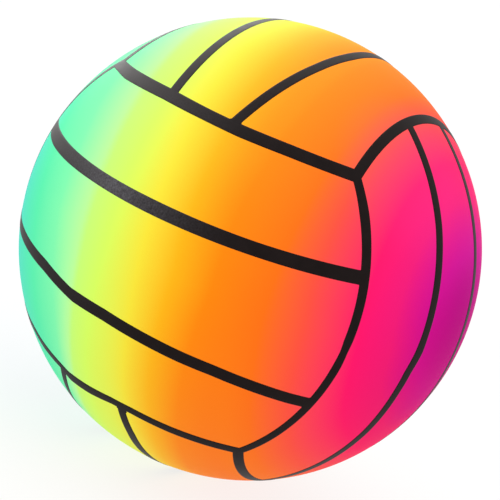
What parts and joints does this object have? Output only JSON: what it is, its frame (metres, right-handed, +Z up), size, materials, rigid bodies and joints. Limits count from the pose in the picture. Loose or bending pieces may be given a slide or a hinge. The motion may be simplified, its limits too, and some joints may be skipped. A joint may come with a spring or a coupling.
{
  "type": "inflatable play ball",
  "caption": "Hollow inflatable vinyl ball in a sprayed rainbow fade with black printed volleyball panel lines and a push-in stopper valve.",
  "frame": {"origin": "centre of the ball", "axes": "+Z up through the middle of the top face of the panel pattern, -Y through the middle of the front face, -X out of the valve, which is also the axis of the rainbow fade"},
  "size_m": [0.2159, 0.216, 0.216],
  "materials": {
    "sprayed_vinyl": "satin moulded vinyl, sprayed in a rainbow fade along X",
    "black_ink": "satin printed ink film",
    "valve_vinyl": "soft moulded vinyl, natural white",
    "stopper_polyethylene": "moulded polyethylene, white"
  },
  "bodies": {
    "ball": {"ball_skin": "sprayed_vinyl", "face_border_lines": "black_ink", "front_strip_lines": "black_ink", "back_strip_lines": "black_ink", "left_strip_lines": "black_ink", "right_strip_lines": "black_ink", "top_strip_lines": "black_ink", "bottom_strip_lines": "black_ink", "valve_seat": "valve_vinyl"},
    "stopper": {"valve_stopper": "stopper_polyethylene"}
  },
  "joints": [
    {"name": "stopper_pull", "type": "slide", "parent": "ball", "child": "stopper", "axis": [-1, 0, 0], "range_m": [0, 0.015]}
  ]
}
